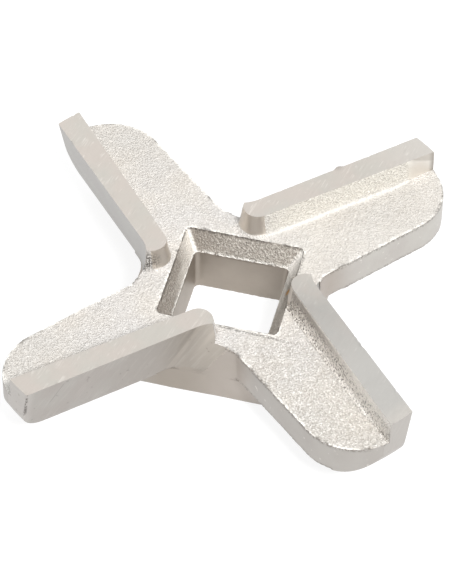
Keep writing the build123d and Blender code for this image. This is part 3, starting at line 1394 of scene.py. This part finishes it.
def broken_arris(graph, place, along, leading, height):
    """1 along the arris at the tip, with gaps."""
    plane = (height - RIB_TOP) * math.tan(RAKE) + EDGE_OFFSET
    on_arris = (leading - plane).ramp(*ARRIS_DEPTH) * along.ramp(*ARRIS_ALONG)
    ragged = graph.noise(place, scale=1.8, detail=2.0, roughness=0.6).ramp(0.42, 0.52)
    return on_arris * ragged * height.ramp(*ARRIS_LOW_END)


print("the scratch meets the cutting edge at, mm along the arm:", SCRATCH_AT)


# %% [markdown]
# ## Ground sides
#
# Over the tone come faint strokes along the wheel's path, and then the marks.

# %% The ground sides
SWEPT_DOWN, SWEPT_ACROSS = 0.6, 0.12
SIDE_STROKE_LIGHT = shade(236, 232, 226)
SIDE_STROKE_DARK = shade(130, 124, 117)
SIDE_ROUGHNESS, SIDE_STROKE_ROUGHNESS, SIDE_BUMP = 0.36, 0.12, 0.006 * MM
SCRATCH_TONE = shade(120, 114, 108)
ARRIS_TONE = shade(74, 68, 62)


def ground_sides(graph):
    place = graph.place()
    along, leading, height = graph.parts(graph.turned_place(-ARM_ANGLES[FRONT_LEFT]))
    swept = graph.joined(along + height * SWEPT_DOWN, height * SWEPT_ACROSS, 0.0)
    strokes = graph.noise(swept, scale=2.2, detail=2.0, roughness=0.6)
    front = graph.parts(place)[1].ramp(2.0, -6.0)
    tone = side_tone(graph, place, swept, along, front)
    tone = graph.mix(strokes.ramp(0.52, 0.66) * 0.08, tone, SIDE_STROKE_LIGHT)
    tone = graph.mix(strokes.ramp(0.44, 0.30) * 0.06, tone, SIDE_STROKE_DARK)
    marks = scratch_and_pits(graph, place, along, height) * front
    tone = graph.mix(marks, tone, SCRATCH_TONE)
    arris = broken_arris(graph, place, along, leading, height) * front
    return {
        "Base Color": graph.mix(arris * 0.7, tone, ARRIS_TONE),
        "Metallic": GROUND_METAL,
        "Roughness": strokes * SIDE_STROKE_ROUGHNESS + SIDE_ROUGHNESS,
        "Normal": graph.bump(strokes, SIDE_BUMP),
    }


skin_mesh.materials.append(finished("ground_sides", ground_sides))


# %% [markdown]
# ## The floor
#
# The floor has to look white without throwing much light back up, or the dark
# undersides of the arms would wash out. So its own colour is dark, and a glow
# that only the eye and glossy or clear surfaces can see makes it pale. Metal
# reflects it as white, and the knife's shadow stays on it. It lies a hair
# below the hub's foot, so that the two faces don't fight for one place.

# %% A pale floor
FLOOR_HALF = 3.0
FLOOR_DROP = 0.05 * MM
FLOOR_BOUNCE = 0.2
FLOOR_GLOW = 0.87
FLOOR_ROUGHNESS = 0.9
FLOOR_CORNERS = ((-1, -1), (1, -1), (1, 1), (-1, 1))


def grey(light):
    return [light] * 3 + [1]


def pale_floor(graph):
    path = graph.make("ShaderNodeLightPath")
    rays = ("Is Camera Ray", "Is Glossy Ray", "Is Transmission Ray")
    camera, glossy, clear = (graph.out(path, ray) for ray in rays)
    seen = (camera + glossy + clear).clamped()
    return {
        "Base Color": grey(FLOOR_BOUNCE),
        "Roughness": FLOOR_ROUGHNESS,
        "Specular IOR Level": 0.0,
        "Emission Color": graph.mix(seen, grey(0), grey(FLOOR_GLOW)),
        "Emission Strength": 1.0,
    }


floor_mesh = bpy.data.meshes.new("floor")
corners = [(x * FLOOR_HALF, y * FLOOR_HALF, -FLOOR_DROP) for x, y in FLOOR_CORNERS]
floor_mesh.from_pydata(corners, [], [(0, 1, 2, 3)])
floor_mesh.materials.append(finished("pale_floor", pale_floor))
floor = bpy.data.objects.new("floor", floor_mesh)
bpy.context.scene.collection.objects.link(floor)


# %% [markdown]
# ## The room
#
# Small metal things look best in a room with a bright ceiling and dimmer
# walls, because the two make their tops and sides differ. The world's light
# grows with the height of its direction, from the horizon to the zenith.

# %% Light from the room
ZENITH, HORIZON = 0.7, 0.25

world = bpy.data.worlds.new("room")
bpy.context.scene.world = world
world.use_nodes = True
room = Graph(world.node_tree)
direction = room.out(room.make("ShaderNodeTexCoord"), "Generated")
upwards = room.parts(direction)[2]
heights = {"Value": upwards, "To Min": HORIZON, "To Max": ZENITH}
light = room.out(room.make("ShaderNodeMapRange", {}, heights))
glow = room.make("ShaderNodeBackground", {}, {"Color": grey(1), "Strength": light})
room.make("ShaderNodeOutputWorld", {}, {"Surface": room.out(glow)})
print("light straight up:", ZENITH, " at the horizon:", HORIZON)


# %% [markdown]
# ## Lamps
#
# The key lamp stands at the front right and is small enough to give the knife
# a shadow with a soft edge. A wide lamp behind gives the tops of the ribs
# their sheen. Both are weak, since the colours should render as they are
# written.

# %% Two soft lamps
def soft_lamp(name, place, size, power):
    """A round lamp that looks at the knife."""
    data = bpy.data.lights.new(name, "AREA")
    data.shape = "DISK"
    data.size = size
    data.energy = power
    lamp = bpy.data.objects.new(name, data)
    lamp.location = place
    lamp.rotation_euler = (-Vector(place)).to_track_quat("-Z", "Y").to_euler()
    bpy.context.scene.collection.objects.link(lamp)
    print(name, "lamp stands off, m:", round(Vector(place).length, 2))


soft_lamp("key", place=(0.5, -0.55, 0.95), size=0.35, power=18.0)
soft_lamp("back", place=(-0.4, 0.98, 0.95), size=1.3, power=4.6)


# %% [markdown]
# ## The camera
#
# A long lens from a good distance keeps the arms in proportion. The camera
# looks down at the middle of the ribs' tops, from the front and a little to
# the right. It is then moved a little to the left and down, which frames the
# knife and leaves the lens's shift at zero.

# %% Camera
AZIMUTH = math.radians(13.951)
ELEVATION = math.radians(47.767)
ROLL = math.radians(0.478)
DISTANCE = 12.7074 * TIP_RADIUS * MM
MOVED_RIGHT = -0.0099 * TIP_RADIUS * MM
MOVED_UP = -0.1138 * TIP_RADIUS * MM
LENS, SENSOR = 206.07, 36
NEAREST, FARTHEST = 0.01, 20


def camera_axes():
    """The camera's right, up and backward directions."""
    level = math.cos(ELEVATION)
    back = Vector((math.sin(AZIMUTH) * level, -math.cos(AZIMUTH) * level, math.sin(ELEVATION)))
    right = Vector((math.cos(AZIMUTH), math.sin(AZIMUTH), 0))
    up = back.cross(right)
    rolled_right = right * math.cos(ROLL) + up * math.sin(ROLL)
    rolled_up = up * math.cos(ROLL) - right * math.sin(ROLL)
    return rolled_right, rolled_up, back


right, up, back = camera_axes()
lens = bpy.data.cameras.new("camera")
lens.lens = LENS
lens.sensor_width = SENSOR
lens.clip_start = NEAREST
lens.clip_end = FARTHEST
camera = bpy.data.objects.new("camera", lens)
camera.matrix_world = Matrix((right, up, back)).transposed().to_4x4()
aim = Vector((0, 0, RIB_TOP * MM))
camera.location = back * DISTANCE + right * MOVED_RIGHT + up * MOVED_UP + aim
bpy.context.scene.collection.objects.link(camera)
bpy.context.scene.camera = camera
bpy.context.scene.view_settings.view_transform = "Standard"
print("camera stands off, m:", round(DISTANCE, 3))


# %% [markdown]
# ## The end
